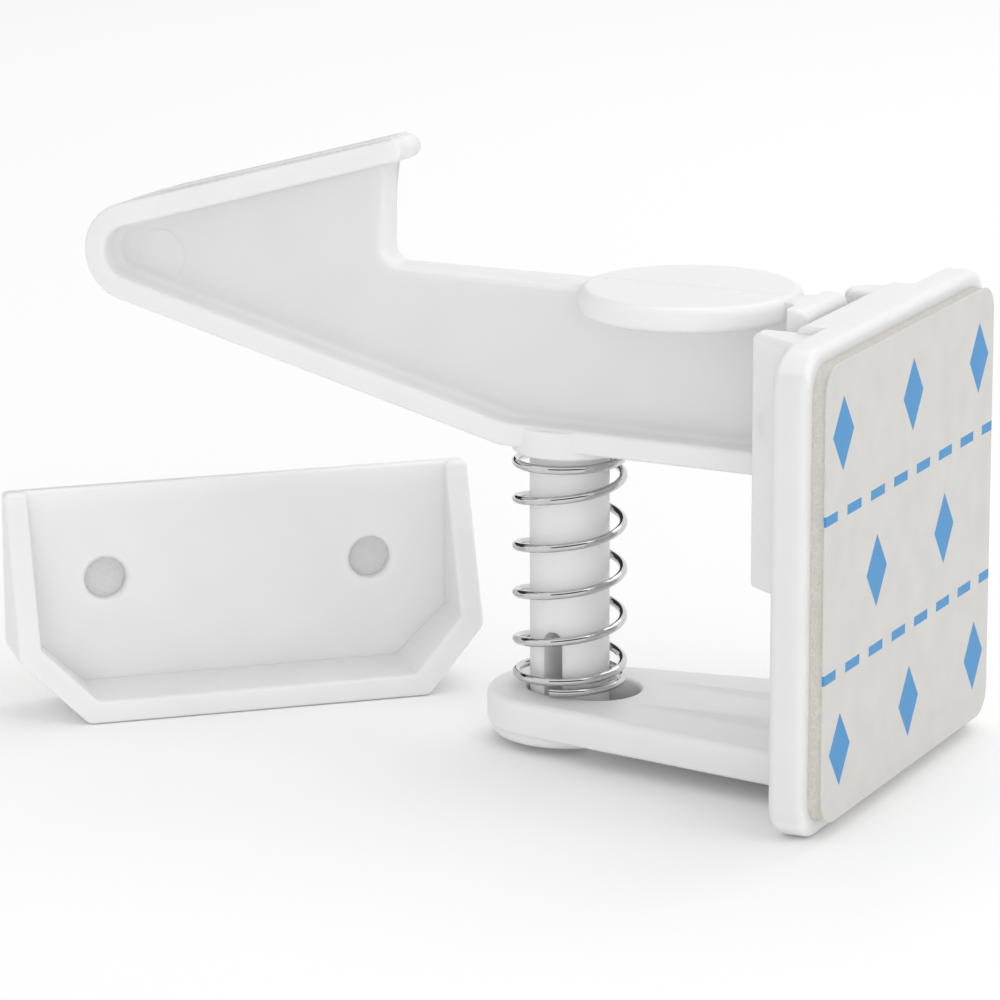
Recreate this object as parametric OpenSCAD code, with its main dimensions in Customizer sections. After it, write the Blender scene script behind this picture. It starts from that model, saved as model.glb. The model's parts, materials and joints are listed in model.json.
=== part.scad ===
// Cabinet safety lock: a stick-on base with a sprung hook arm, and the strike tray that the hook catches.
// Sizes are in millimetres. Heights are measured up from the table that the lock stands on, and reaches
// run forward from the back of the plate. The origin is the middle of the sticking face, with +X into
// the door, the hook reaching along -X and +Z up.

/* [Plate] */
// Width of the back plate
plate_w = 41; // [36:0.5:50]
// Height of the back plate
plate_h = 42; // [38:0.5:50]
// Thickness of the back plate
plate_t = 2.9; // [2:0.1:4]
// Radius of the plate's four corners
plate_corner_r = 3.4; // [2:0.1:6]
// Rounding of the plate's edges
plate_edge_r = 0.9; // [0.3:0.1:1]

/* [Hinge] */
// Height of the hinge axis
hinge_z = 33.5; // [31:0.1:36]
// Width of the gap between the hinge walls
ear_gap = 17.6; // [15:0.2:19]
// Thickness of a hinge wall at its front edge
ear_t = 2.2; // [1.8:0.1:3]
// How much thicker a hinge wall stands at the plate
ear_flare = 3.7; // [2.5:0.1:4]
// How far the hinge walls reach past the hinge axis
ear_front = 2.8; // [2.4:0.1:4]
// Height of the hinge walls' lower edge
ear_low = 19.1; // [16:0.1:24]
// Drop of the hinge walls' upper edge below the plate's top
ear_drop = 0.8; // [0.4:0.1:2]
// Rounding of the hinge walls' front corners
ear_r = 0.9; // [0.3:0.1:1.5]
// Thickness of the roof between the hinge walls
roof_t = 2; // [1.2:0.1:3]
// Gap between the roof and the arm's end
roof_gap = 1.2; // [0.6:0.1:1.6]
// Radius of the arm's two hinge pins
pin_r = 1.6; // [1.2:0.1:1.9]
// How deep a pin sits in its wall
pin_depth = 2.4; // [1.5:0.1:2.6]
// Running clearance of a pin in its socket
pin_clear = 0.08; // [0.04:0.01:0.12]
// Radius of the hub round the pins
hub_r = 2.4; // [2.1:0.1:3]
// Gap between the hub and the plate
hub_gap = 0.5; // [0.3:0.1:1]
// Gap between the hub's ends and the hinge walls
hub_clear = 0.3; // [0.2:0.05:0.6]

/* [Tongue] */
// Width of the tongue at the plate
tongue_w = 24; // [18:0.5:28]
// Height of the tongue's top
tongue_top = 4.8; // [4.4:0.1:6]
// Thickness of the tongue
tongue_t = 3.1; // [2.4:0.1:3.4]
// How far the tongue's round end reaches past the spring
tongue_rim = 2.25; // [1.2:0.05:3.5]
// Depth of the groove along the tongue
groove_depth = 1.5; // [0.8:0.1:1.7]
// Distance between the groove's end and the plate
groove_gap = 2.3; // [1:0.1:5]
// How far the collar stands below the tongue
collar_drop = 1; // [0.6:0.1:1.6]
// Wall of the collar round the barbs
collar_wall = 2.1; // [1.2:0.1:3]
// Rounding of the collar's edges
collar_edge_r = 0.6; // [0.2:0.1:0.9]
// Thickness of the ledge that stops the barbs
ledge_t = 1.3; // [1:0.1:1.6]

/* [Arm] */
// Width of the arm across its flanges
arm_w = 9; // [7:0.5:11]
// Thickness of the arm's web, which its top and its catch face show
web_t = 3.3; // [2.4:0.1:4.5]
// Height of the arm's top above the hinge axis
arm_up = 8.4; // [6.5:0.1:9]
// Depth of the arm's end below the hinge axis
root_down = 6.5; // [5.5:0.1:8]
// Depth of the knee below the hinge axis
knee_down = 6.3; // [5.5:0.1:8]
// How far the knee lies past the post
knee_past = 4.9; // [3:0.1:8]
// Distance of the arm's end from the hinge axis
root_back = 0.4; // [0.2:0.1:1]
// Thickness of the arm's lower flange
low_rim_t = 2.1; // [1.4:0.1:2.6]
// Thickness of the flange under the hook's slope
slope_rim_t = 2; // [1.6:0.1:3]
// Rounding of the arm's knee
knee_r = 4; // [1:0.5:8]
// Rounding of the arm's end
end_r = 1; // [0.4:0.1:1.5]

/* [Hook] */
// Width of the notch between the press disc and the catch face
notch_w = 19.3; // [14:0.1:22]
// Length of the hook from its catch face to its tip
hook_len = 29.3; // [25:0.1:36]
// Height of the lip above the arm's top
hook_h = 11.5; // [9:0.1:15]
// Radius of the tip's round
tip_r = 4.5; // [3.5:0.1:5.5]
// Drop of the middle of the tip below the arm's top
tip_drop = 0.7; // [-2:0.1:3]
// How far the lip overhangs the catch face
lip_over = 1.7; // [0.8:0.1:3]
// Thickness of the lip
lip_t = 2.1; // [1.6:0.1:3]
// Rounding of the lip's edge
lip_r = 1; // [0.3:0.1:1.2]
// Fillet between the catch face and the arm's top
catch_r = 1.5; // [0.8:0.1:3.5]
// Rounding under the lip
catch_edge_r = 0.4; // [0.2:0.1:0.8]

/* [Press disc] */
// Radius of the press disc
disc_r = 9.8; // [8:0.1:11]
// Gap between the press disc and the hinge walls
disc_gap = 0.7; // [0.4:0.1:2]
// Height of the press disc above the arm's top
disc_rise = 0.3; // [0.2:0.1:1.5]
// Thickness of the press disc
disc_t = 2.2; // [1.8:0.1:3]
// Rounding of the press disc's edge
disc_edge_r = 0.8; // [0.3:0.1:0.8]

/* [Post] */
// Distance of the post from the hinge axis
post_out = 24.9; // [23:0.1:28]
// Radius of the post
post_r = 3.55; // [3:0.05:4]
// Width of the slot that splits the post
post_slot_w = 1.8; // [1:0.1:2.4]
// Height of the top of the slot
post_slot_top = 10.5; // [8:0.1:14]
// How far the barbs stand out from the post
barb_out = 0.85; // [0.5:0.05:1]
// Height of the barbs' upright face
barb_face = 0.6; // [0.3:0.1:0.9]
// Clearance of the post in the tongue
post_clear = 0.25; // [0.15:0.05:0.5]
// Gap between the barbs and the ledge that stops them
stop_gap = 0.08; // [0.05:0.01:0.2]
// How far the arm presses down, in degrees
press_angle = 5; // [3:0.5:9]

/* [Spring] */
// Diameter of the spring wire
wire_d = 0.76; // [0.5:0.02:0.9]
// Gap between the post and the spring
spring_clear = 0.84; // [0.5:0.02:1.2]
// Turns of the spring
spring_turns = 6.5; // [5:0.5:8]
// Gap between the closed turns at each end
closed_gap = 0.49; // [0.45:0.01:0.7]
// How far the spring's seat stands below the knee
seat_drop = 0.7; // [0.3:0.1:1.5]
// Gap between the spring and each seat
seat_gap = 0.1; // [0.05:0.01:0.2]

/* [Sticking pads] */
// Thickness of the base's foam pad
foam_t = 1.5; // [1:0.1:2.5]
// Thickness of the release liners
liner_t = 0.2; // [0.15:0.05:0.4]
// How far the pad stands back from the plate's edge
pad_inset = 0.6; // [0.3:0.1:1.5]

/* [Strike] */
// Width of the strike
strike_w = 43.6; // [38:0.2:50]
// Height of the strike
strike_h = 20.1; // [18:0.1:24]
// Depth of the strike at its top edge
strike_top_d = 1.6; // [1.4:0.1:3]
// Depth of the strike at its shelf
strike_low_d = 9.3; // [7:0.1:12]
// Thickness of the strike's back
strike_back_t = 1.2; // [1:0.1:1.3]
// Thickness of the strike's walls
strike_wall_t = 2.1; // [1.5:0.1:2.6]
// Thickness of the strike's shelf
strike_shelf_t = 1.9; // [1.5:0.1:2.6]
// Width of the cut lower corners
strike_cut_w = 5.85; // [3:0.05:8]
// Height of the cut lower corners
strike_cut_h = 5.65; // [3:0.05:8]
// Rounding of the strike's upper corners
strike_r = 1.8; // [0.6:0.1:3]
// Rounding of the strike's cut corners
strike_cut_r = 1; // [0.4:0.1:2]
// Rounding inside the tray
strike_in_r = 0.6; // [0.3:0.1:1]
// Rounding of the strike's front and top edges
strike_edge_r = 0.4; // [0.2:0.05:0.6]
// Radius of the strike's screw holes
screw_r = 1.95; // [1.5:0.05:2.5]
// Distance between the screw holes
screw_spacing = 25; // [20:0.5:30]
// Height of the screw holes
screw_z = 11.35; // [9:0.05:14]
// Thickness of the strike's foam pad
strike_foam_t = 1; // [0.8:0.1:2]
// How far the strike's pad stands back from its edges
strike_pad_inset = 1.2; // [0.8:0.1:3]
// Reach of the middle of the strike's back
strike_reach = 65.65; // [62:0.05:90]
// How far the strike stands beyond the middle of the arm
strike_side = 1.7; // [-20:0.1:20]
// Turn of the strike on the table, in degrees
strike_turn = 42.65; // [0:0.05:60]

/* [Hidden] */
$fn = 64;
plastic = "whitesmoke";
foam = "linen";
liner = "lightgray";
// Least size that counts, how far a cutter runs past what it cuts, and how far a side lies inside a round end
eps = 0.01;
over = 1;
side_dip = 0.05;
// Steps of a rounded corner, and the share of a side that its rounding may take up
arc_steps = 8;
corner_share = 0.48;

// Reaches, from the back of the plate forward
hinge_reach = plate_t + hub_gap + hub_r;
ear_reach = hinge_reach + ear_front;
root_reach = hinge_reach + root_back;
roof_reach = root_reach - roof_gap;
post_reach = hinge_reach + post_out;
knee_reach = post_reach + knee_past;
disc_reach = ear_reach + disc_gap + disc_r;
catch_reach = disc_reach + disc_r + notch_w;
tip_reach = catch_reach + hook_len;
groove_reach = plate_t + groove_gap;

// Heights, from the table up
ear_top = plate_h - ear_drop;
arm_top = hinge_z + arm_up;
root_low = hinge_z - root_down;
knee_z = hinge_z - knee_down;
tip_z = arm_top - tip_drop;
lip_top = arm_top + hook_h;
disc_top = arm_top + disc_rise;
seat_z = knee_z - seat_drop;
tongue_low = tongue_top - tongue_t;
collar_low = tongue_low - collar_drop;
ledge_z = tongue_top - groove_depth - ledge_t;
barb_top = ledge_z - stop_gap;

// Widths and radii that several pieces share
ear_in = ear_gap / 2;
pin_len = ear_in + pin_depth;
post_swing = post_out - post_out / cos(press_angle) + (hinge_z - collar_low) * tan(press_angle);
slot_r = post_r / cos(press_angle) + post_clear;
barb_r = post_r + barb_out;
prong_tip_r = post_r - barb_out / 2;
barb_room_r = barb_r + 2 * post_clear;
spring_r = post_r + spring_clear + wire_d;
tongue_end_r = spring_r + tongue_rim;
collar_r = barb_room_r + collar_wall;

// Plane geometry
function unit(v) = v / norm(v);
function left_of(v) = [-v[1], v[0]];
function cross2(a, b) = a[0] * b[1] - a[1] * b[0];
function turned(v, a) = [v[0] * cos(a) - v[1] * sin(a), v[0] * sin(a) + v[1] * cos(a)];

// Point where the line through p along u meets the line through q along v
function meet(p, u, q, v) = p + u * cross2(q - p, v) / cross2(u, v);

// Direction of the tangent from point p to the circle of radius r about c, passing on its given side
function tangent_u(p, c, r, side) = turned(unit(c - p), side * asin(r / norm(c - p)));

// Points of one corner b between a and c, rounded to radius r
function corner(a, b, c, r) =
    let (u = unit(a - b), v = unit(c - b),
         half = acos(max(-1, min(1, u * v))) / 2,
         back = min(r / tan(half), norm(a - b) * corner_share, norm(c - b) * corner_share),
         true_r = back * tan(half),
         mid = b + unit(u + v) * true_r / sin(half),
         from = b + u * back - mid,
         to = b + v * back - mid,
         sweep = atan2(cross2(from, to), from * to))
    true_r < eps ? [b] : [for (i = [0:arc_steps]) mid + turned(from, sweep * i / arc_steps)];

// Closed outline with every corner rounded to its own radius
function rounded(pts, radii) =
    let (n = len(pts))
    [for (i = [0:n - 1])
        each corner(pts[(i + n - 1) % n], pts[i], pts[(i + 1) % n], radii[i])];

// Counter-clockwise outline with each side moved in by its own distance
function inset(pts, dists) =
    let (n = len(pts))
    [for (i = [0:n - 1])
        let (j = (i + n - 1) % n,
             u = unit(pts[i] - pts[j]),
             v = unit(pts[(i + 1) % n] - pts[i]))
        meet(pts[i] + left_of(u) * dists[j], u, pts[i] + left_of(v) * dists[i], v)];

// From the plate's back at table height to the middle of the sticking face
module standing() {
    translate([-foam_t - liner_t, 0, -plate_h / 2]) children();
}

// Upright outline in X and Z, given a width across Y
module upright(w) {
    rotate([90, 0, 0]) linear_extrude(w, center = true) children();
}

// Upright outline in Y and Z, given a width along X
module sideways(w) {
    rotate([90, 0, 90]) linear_extrude(w, center = true) children();
}

module rounded_rect(w, h, r) {
    union() {
        square([w - 2 * r, h], center = true);
        square([w, h - 2 * r], center = true);
        for (x = [-1, 1], y = [-1, 1]) translate([x * (w / 2 - r), y * (h / 2 - r)]) circle(r);
    }
}

// Round disc standing on Z = 0, with its rim rounded above and below
module rounded_disc(r, t, edge_r) {
    rotate_extrude() intersection() {
        translate([0, t / 2]) rounded_rect(2 * r, t, edge_r);
        square([r, t]);
    }
}

// Tile with round corners and rounded edges, its face on X = 0 and its thickness along +X
module rounded_tile(w, h, t, corner_r, edge_r) {
    for (y = [-1, 1], z = [-1, 1])
        translate([0, y * (w / 2 - corner_r), z * (h / 2 - corner_r)])
            rotate([0, 90, 0]) rounded_disc(corner_r, t, edge_r);
    translate([t / 2, 0, 0]) upright(w - 2 * corner_r) rounded_rect(t, h, edge_r);
    translate([t / 2, 0, 0])
        linear_extrude(h - 2 * corner_r, center = true) rounded_rect(t, w, edge_r);
}

// Base: plate, hinge walls with their roof, and tongue, in one moulding
module plate() {
    translate([-plate_t, 0, plate_h / 2])
        rounded_tile(plate_w, plate_h, plate_t, plate_corner_r, plate_edge_r);
}

// Hinge wall, which thickens towards the plate and runs half way into it
module hinge_wall() {
    root = plate_t / 2;
    ear_out = ear_in + ear_t;
    outline = rounded(
        [[-root, ear_in], [-root, ear_out + ear_flare], [-plate_t, ear_out + ear_flare],
         [-ear_reach, ear_out], [-ear_reach, ear_in]],
        [0, 0, 0, ear_r, ear_r / 2]);
    translate([0, 0, ear_low]) linear_extrude(ear_top - ear_low) polygon(outline);
}

module roof() {
    root = plate_t / 2;
    outline = rounded(
        [[-root, plate_h - roof_t], [-root, plate_h - plate_edge_r],
         [-plate_t + plate_edge_r, plate_h], [-roof_reach, plate_h], [-roof_reach, plate_h - roof_t]],
        [0, 0, 0, roof_t / 2, roof_t / 4]);
    upright(ear_gap + ear_t) polygon(outline);
}

// Tongue outline: straight sides from the plate, which meet the round end a hair inside its tangent
module tongue_outline() {
    root = [-plate_t / 2, tongue_w / 2];
    end = [-post_reach, 0];
    side_r = tongue_end_r - side_dip;
    side_u = tangent_u(root, end, side_r, -1);
    touch = end - left_of(side_u) * side_r;
    union() {
        polygon([root, touch, [touch[0], -touch[1]], [root[0], -root[1]]]);
        translate(end) circle(tongue_end_r);
    }
}

module tongue() {
    translate([0, 0, tongue_low]) linear_extrude(tongue_t) tongue_outline();
    translate([-post_reach, 0, collar_low])
        rounded_disc(collar_r, tongue_top - collar_low - eps, collar_edge_r);
}

// Upright cutter with round ends, as long as the post's swing towards the plate
module swing_slot(r, low, high) {
    for (x = [0, post_swing]) translate([x - post_reach, 0, low]) cylinder(r = r, h = high - low);
    translate([-post_reach, -r, low]) cube([post_swing, 2 * r, high - low]);
}

module tongue_cuts() {
    swing_slot(slot_r, collar_low - over, tongue_top + over);
    swing_slot(barb_room_r, collar_low - over, ledge_z);
    translate([-post_reach, -slot_r, tongue_top - groove_depth])
        cube([post_reach - groove_reach, 2 * slot_r, groove_depth + over]);
}

module base() {
    color(plastic) standing() difference() {
        union() {
            plate();
            hinge_wall();
            mirror([0, 1, 0]) hinge_wall();
            roof();
            tongue();
        }
        tongue_cuts();
        translate([-hinge_reach, 0, hinge_z]) rotate([90, 0, 0])
            cylinder(r = pin_r + pin_clear, h = 2 * (pin_len + hub_clear), center = true);
    }
}

// Arm: hook, web and flanges, press disc, split post and hinge pins, in one moulding
tip_mid = [-tip_reach + tip_r, tip_z];
knee = [-knee_reach, knee_z];
root_foot = [-root_reach, root_low];
root_top = [-root_reach, arm_top];
catch_foot = [-catch_reach, arm_top];
lip_end = [-catch_reach + lip_over, lip_top];
slope_u = tangent_u(lip_end, tip_mid, tip_r, -1);
under_u = tangent_u(knee, tip_mid, tip_r, 1);
tip_corner = meet(lip_end, slope_u, knee, under_u);
lip_low = lip_end + left_of(slope_u) * lip_t;
catch_top = meet(lip_low, slope_u, catch_foot, [0, 1]);
slope_end = meet(lip_end, slope_u, catch_foot, [0, 1]);

module arm_outline() {
    polygon(rounded(
        [tip_corner, knee, root_foot, root_top, catch_foot, catch_top, lip_low, lip_end],
        [tip_r, knee_r, end_r, end_r, catch_r, catch_edge_r, lip_r, lip_r]));
}

// Recess in each side of the arm, which leaves flanges below, round the tip and under the hook's slope
module arm_recess() {
    frame = inset(
        [tip_corner, knee, root_foot, root_top, catch_foot, slope_end],
        [low_rim_t, low_rim_t, low_rim_t, -over, -over, slope_rim_t]);
    polygon(rounded(frame, [tip_r - low_rim_t, knee_r, end_r, 0, 0, 0]));
}

// What is cut off beside the slope's flange, so that it narrows from the tip to the web at the lip
module slope_taper() {
    down = left_of(slope_u);
    touch = tip_mid - tip_r * down;
    past = lip_end - over * slope_u;
    deep = slope_rim_t + over;
    wide = arm_w / 2 + over;
    start = touch[0] + deep * down[0];
    run = (wide - web_t / 2) * (lip_end[0] - start) / ((arm_w - web_t) / 2);
    intersection() {
        upright(2 * wide)
            polygon([touch - over * down, touch + deep * down, past + deep * down, past - over * down]);
        linear_extrude(lip_top + over) for (side = [-1, 1]) polygon([
            [lip_end[0], side * web_t / 2], [lip_end[0] + 2 * over, side * web_t / 2],
            [lip_end[0] + 2 * over, side * wide], [lip_end[0] - run, side * wide]]);
    }
}

// Split snap post, with barbs that catch below the tongue
module post() {
    round_z = post_slot_top - post_slot_w / 2;
    barb = [[0, 0], [prong_tip_r, 0], [barb_r, barb_top - barb_face], [barb_r, barb_top], [0, barb_top]];
    translate([-post_reach, 0, 0]) difference() {
        union() {
            cylinder(r = post_r, h = knee_z + low_rim_t / 2);
            rotate_extrude() polygon(barb);
        }
        translate([-post_slot_w / 2, -2 * post_r, -over]) cube([post_slot_w, 4 * post_r, round_z + over]);
        translate([0, 0, round_z]) rotate([90, 0, 0])
            cylinder(d = post_slot_w, h = 4 * post_r, center = true);
    }
}

module arm() {
    color(plastic) standing() union() {
        difference() {
            upright(arm_w) arm_outline();
            for (side = [-1, 1])
                translate([0, side * (web_t + arm_w) / 2, 0]) upright(arm_w) arm_recess();
            slope_taper();
        }
        translate([-disc_reach, 0, disc_top - disc_t]) rounded_disc(disc_r, disc_t, disc_edge_r);
        translate([-post_reach, 0, seat_z])
            cylinder(r = spring_r, h = knee_z + low_rim_t - seat_z);
        post();
        translate([-hinge_reach, 0, hinge_z]) rotate([90, 0, 0]) {
            cylinder(r = hub_r, h = ear_gap - 2 * hub_clear, center = true);
            cylinder(r = pin_r, h = 2 * pin_len, center = true);
        }
    }
}

// Coil spring: one unbroken wire round the post, with closed turns at both ends
ring_sides = 6;
rings_per_turn = 8;
closed_turns = 1;
spring_start = -86;
mean_r = spring_r - wire_d / 2;
spring_low = tongue_top + seat_gap + wire_d / 2;
spring_high = seat_z - seat_gap - wire_d / 2;
closed_pitch = wire_d + closed_gap;
open_turns = spring_turns - 2 * closed_turns;
open_pitch = (spring_high - spring_low - 2 * closed_turns * closed_pitch) / open_turns;
spring_rings = ceil(spring_turns * rings_per_turn);

// Height of the wire's middle after a number of turns
function coil_z(turns) = spring_low
    + closed_pitch * min(turns, closed_turns)
    + open_pitch * max(0, min(turns - closed_turns, open_turns))
    + closed_pitch * max(0, turns - closed_turns - open_turns);

// Angle, middle and outline of one ring of the wire
function coil_angle(i) = 360 * spring_turns * i / spring_rings + spring_start;
function coil_mid(i) = [mean_r * cos(coil_angle(i)), mean_r * sin(coil_angle(i)),
                        coil_z(spring_turns * i / spring_rings)];
function coil_ring(i) =
    let (a = coil_angle(i))
    [for (k = [0:ring_sides - 1])
        let (t = 360 * k / ring_sides)
        coil_mid(i) + wire_d / 2 * [cos(a) * cos(t), sin(a) * cos(t), sin(t)]];

module return_spring() {
    pts = [for (i = [0:spring_rings]) each coil_ring(i)];
    last = spring_rings * ring_sides;
    sides = [for (i = [0:spring_rings - 1], k = [0:ring_sides - 1])
        let (a = i * ring_sides + k, b = i * ring_sides + (k + 1) % ring_sides)
        each [[a, a + ring_sides, b], [b, a + ring_sides, b + ring_sides]]];
    ends = [for (k = [1:ring_sides - 2])
        each [[0, k, k + 1], [last, last + k + 1, last + k]]];
    color("silver") standing() translate([-post_reach, 0, 0])
        polyhedron(pts, concat(sides, ends));
}

// Least gap between turns of the spring, measured between rings over half a turn apart
coil_gap = min([for (i = [0:spring_rings], j = [0:spring_rings])
    if (j - i > rings_per_turn / 2) norm(coil_mid(j) - coil_mid(i)) - wire_d]);
echo(spring_gap = coil_gap);

// Sticking pad of the base and its release liner
module base_pad(t) {
    translate([0, 0, plate_h / 2]) rounded_tile(
        plate_w - 2 * pad_inset, plate_h - 2 * pad_inset, t, plate_corner_r - pad_inset, t / 4);
}

module base_foam_pad() {
    color(foam) standing() base_pad(foam_t);
}

module base_release_liner() {
    color(liner) standing() translate([foam_t, 0, 0]) base_pad(liner_t);
}

// Strike: an open tray, with its back on Y = 0 and its front along -Y before it is placed
strike_corners = [
    [-strike_w / 2 + strike_cut_w, 0], [strike_w / 2 - strike_cut_w, 0],
    [strike_w / 2, strike_cut_h], [strike_w / 2, strike_h],
    [-strike_w / 2, strike_h], [-strike_w / 2, strike_cut_h]];

module strike_place() {
    standing() translate([-strike_reach, strike_side, 0]) rotate([0, 0, strike_turn]) children();
}

// Room inside the tray, open at the front and the top
module strike_room() {
    wall = strike_wall_t;
    frame = inset(strike_corners, [strike_shelf_t, wall, wall, -strike_r, wall, wall]);
    translate([0, -strike_low_d - strike_back_t, 0]) upright(2 * strike_low_d)
        polygon(rounded(frame, [strike_in_r, strike_in_r, strike_in_r, 0, 0, strike_in_r]));
}

// Side outline of the tray, deeper at its shelf than at its top
module strike_wedge() {
    sideways(strike_w + over) polygon(rounded(
        [[0, 0], [0, strike_h], [-strike_top_d, strike_h], [-strike_low_d, 0]],
        [0, strike_edge_r, strike_edge_r, strike_edge_r]));
}

module strike() {
    corner_radii = [strike_cut_r, strike_cut_r, strike_cut_r, strike_r, strike_r, strike_cut_r];
    color(plastic) strike_place() difference() {
        intersection() {
            upright(2 * strike_low_d + over) polygon(rounded(strike_corners, corner_radii));
            strike_wedge();
        }
        strike_room();
        for (side = [-1, 1])
            translate([side * screw_spacing / 2, 0, screw_z]) rotate([90, 0, 0])
                cylinder(r = screw_r, h = 2 * strike_low_d, center = true);
    }
}

// Sticking pad of the strike and its release liner
module strike_pad(t) {
    frame = inset(strike_corners, [for (p = strike_corners) strike_pad_inset]);
    translate([0, t / 2, 0]) upright(t) polygon(rounded(frame, [for (p = frame) strike_cut_r]));
}

module strike_foam_pad() {
    color(foam) strike_place() strike_pad(strike_foam_t);
}

module strike_release_liner() {
    color(liner) strike_place() translate([0, strike_foam_t, 0]) strike_pad(liner_t);
}

base();
arm();
return_spring();
base_foam_pad();
base_release_liner();
strike();
strike_foam_pad();
strike_release_liner();
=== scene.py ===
# %% [markdown]
# A cabinet safety lock: a white moulded base that sticks to the door, a sprung hook arm that snaps into it,
# and a loose tray for the hook to catch behind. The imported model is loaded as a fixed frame, and every piece
# below is built in that same frame, in metres, so nothing has to be fitted by eye.

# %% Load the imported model
import json
import math

import bmesh
import bpy
from mathutils import Matrix, Vector, noise


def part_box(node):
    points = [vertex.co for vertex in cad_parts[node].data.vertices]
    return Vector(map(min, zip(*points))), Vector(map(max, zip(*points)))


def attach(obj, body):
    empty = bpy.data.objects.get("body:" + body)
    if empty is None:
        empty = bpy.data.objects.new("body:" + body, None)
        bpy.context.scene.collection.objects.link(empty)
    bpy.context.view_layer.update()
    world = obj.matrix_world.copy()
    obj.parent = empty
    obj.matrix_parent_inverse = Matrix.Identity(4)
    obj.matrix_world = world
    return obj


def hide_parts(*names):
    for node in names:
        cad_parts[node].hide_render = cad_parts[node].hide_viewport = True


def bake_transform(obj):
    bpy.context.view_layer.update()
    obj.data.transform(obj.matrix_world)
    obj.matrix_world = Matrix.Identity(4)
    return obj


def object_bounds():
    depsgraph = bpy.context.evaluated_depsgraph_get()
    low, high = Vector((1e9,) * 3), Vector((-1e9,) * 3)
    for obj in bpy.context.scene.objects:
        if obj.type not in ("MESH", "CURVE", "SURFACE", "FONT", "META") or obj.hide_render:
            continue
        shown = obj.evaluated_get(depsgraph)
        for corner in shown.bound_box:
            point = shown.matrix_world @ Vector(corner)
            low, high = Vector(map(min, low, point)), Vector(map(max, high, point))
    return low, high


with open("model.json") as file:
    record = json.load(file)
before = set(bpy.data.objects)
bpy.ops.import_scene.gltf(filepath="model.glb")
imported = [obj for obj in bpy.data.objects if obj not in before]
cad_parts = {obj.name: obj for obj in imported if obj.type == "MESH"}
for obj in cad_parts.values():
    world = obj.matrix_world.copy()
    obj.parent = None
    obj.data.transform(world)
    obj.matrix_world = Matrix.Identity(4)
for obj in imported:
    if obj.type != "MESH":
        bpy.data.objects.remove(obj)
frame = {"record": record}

cad_low, cad_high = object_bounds()
print("CAD box in mm", [round(c * 1000, 2) for c in cad_high - cad_low])

# %% [markdown]
# A designer thinks of a moulding in millimetres, so the meshes are drawn in millimetres and scaled to metres
# when they are finished. The places come from the frame: the base's box says where the back of the plate and
# the table are, and the joint says where the hinge is. Typing them again would let the two drift apart.

# %% Read places from the frame
MM = 0.001


def box_mm(node):
    low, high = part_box(node)
    return low / MM, high / MM


base_low, base_high = box_mm("base")
back_x, table_z = base_high.x, base_low.z
plate_w, plate_h = base_high.y - base_low.y, base_high.z - base_low.z
press_joint = next(j for j in frame["record"]["behaviour"]["joints"] if j["name"] == "arm_press")
hinge_x, _, hinge_z = (c / MM for c in press_joint["pos_m"])
spring_low, spring_high = box_mm("return_spring")
post_x = (spring_low.x + spring_high.x) / 2
print("hinge at", round(hinge_x, 2), round(hinge_z, 2), "post at", round(post_x, 2))

# %% [markdown]
# Nearly every shape here is an outline with rounded corners, pulled out to a thickness. The outline could be a
# long list of points, but a few corners with a radius each are easier to read. Spin turns the first point of
# a corner round the corner's middle, which leaves a true arc of edges behind.

# %% Draw outlines with round corners
def side_view(y):
    return lambda u, v: Vector((u, y, v))


def top_view(z):
    return lambda u, v: Vector((u, v, z))


def back_view(x):
    return lambda u, v: Vector((x, u, v))


def draw_loop(bm, corners, view):
    """Closed loop of edges through corners (u, v, radius), as seen in one view."""
    axis = (view(1, 0) - view(0, 0)).cross(view(0, 1) - view(0, 0))
    flat = [Vector(c[:2]) for c in corners]
    loop = []
    for i, (u, v, r) in enumerate(corners):
        back = (flat[i - 1] - flat[i]).normalized()
        ahead = (flat[(i + 1) % len(flat)] - flat[i]).normalized()
        half = back.angle(ahead) / 2
        start = flat[i] + back * r / math.tan(half)
        loop.append(bm.verts.new(view(*start)))
        middle = flat[i] + (back + ahead).normalized() * r / math.sin(half)
        sweep = math.copysign(math.pi - 2 * half, ahead.cross(back))
        steps = max(3, math.ceil(abs(sweep) * r / 0.4)) if r else 0
        for _ in range(steps):
            arc = bmesh.ops.spin(bm, geom=loop[-1:], cent=view(*middle), axis=axis, angle=sweep / steps, steps=1)
            loop += [g for g in arc["geom_last"] if isinstance(g, bmesh.types.BMVert)]
    for a, b in zip(loop, loop[1:] + loop[:1]):
        if not bm.edges.get((a, b)):
            bm.edges.new((a, b))
    return loop


# %% [markdown]
# Injection moulded plastic has no sharp edges: every rim is rounded by the tool, and the bright lines on the
# real part are those rounded rims. So each block gets its rims bevelled right after it is pulled out, while
# the rim is still one clean loop of edges and the bevel runs evenly all the way round.

# %% Pull out blocks and round their rims
def round_edges(bm, edges, r, segments=4):
    return bmesh.ops.bevel(bm, geom=list(edges), offset=r, offset_type="OFFSET", segments=segments, profile=0.5,
                           affect="EDGES", material=-1)


def pull_out(bm, face, travel, low_r, high_r):
    grown = bmesh.ops.extrude_face_region(bm, geom=[face])["geom"]
    end = next(g for g in grown if isinstance(g, bmesh.types.BMFace))
    bmesh.ops.translate(bm, verts=end.verts, vec=travel)
    bmesh.ops.recalc_face_normals(bm, faces=bm.faces)
    for rim, r in ((face, low_r), (end, high_r)):
        if r:
            round_edges(bm, rim.edges, r)
    return bm


def block(corners, view, travel, low_r=0, high_r=0):
    """Closed block: an outline pulled along travel, with the rims of its two ends rounded."""
    bm = bmesh.new()
    return pull_out(bm, bm.faces.new(draw_loop(bm, corners, view)), travel, low_r, high_r)


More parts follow.
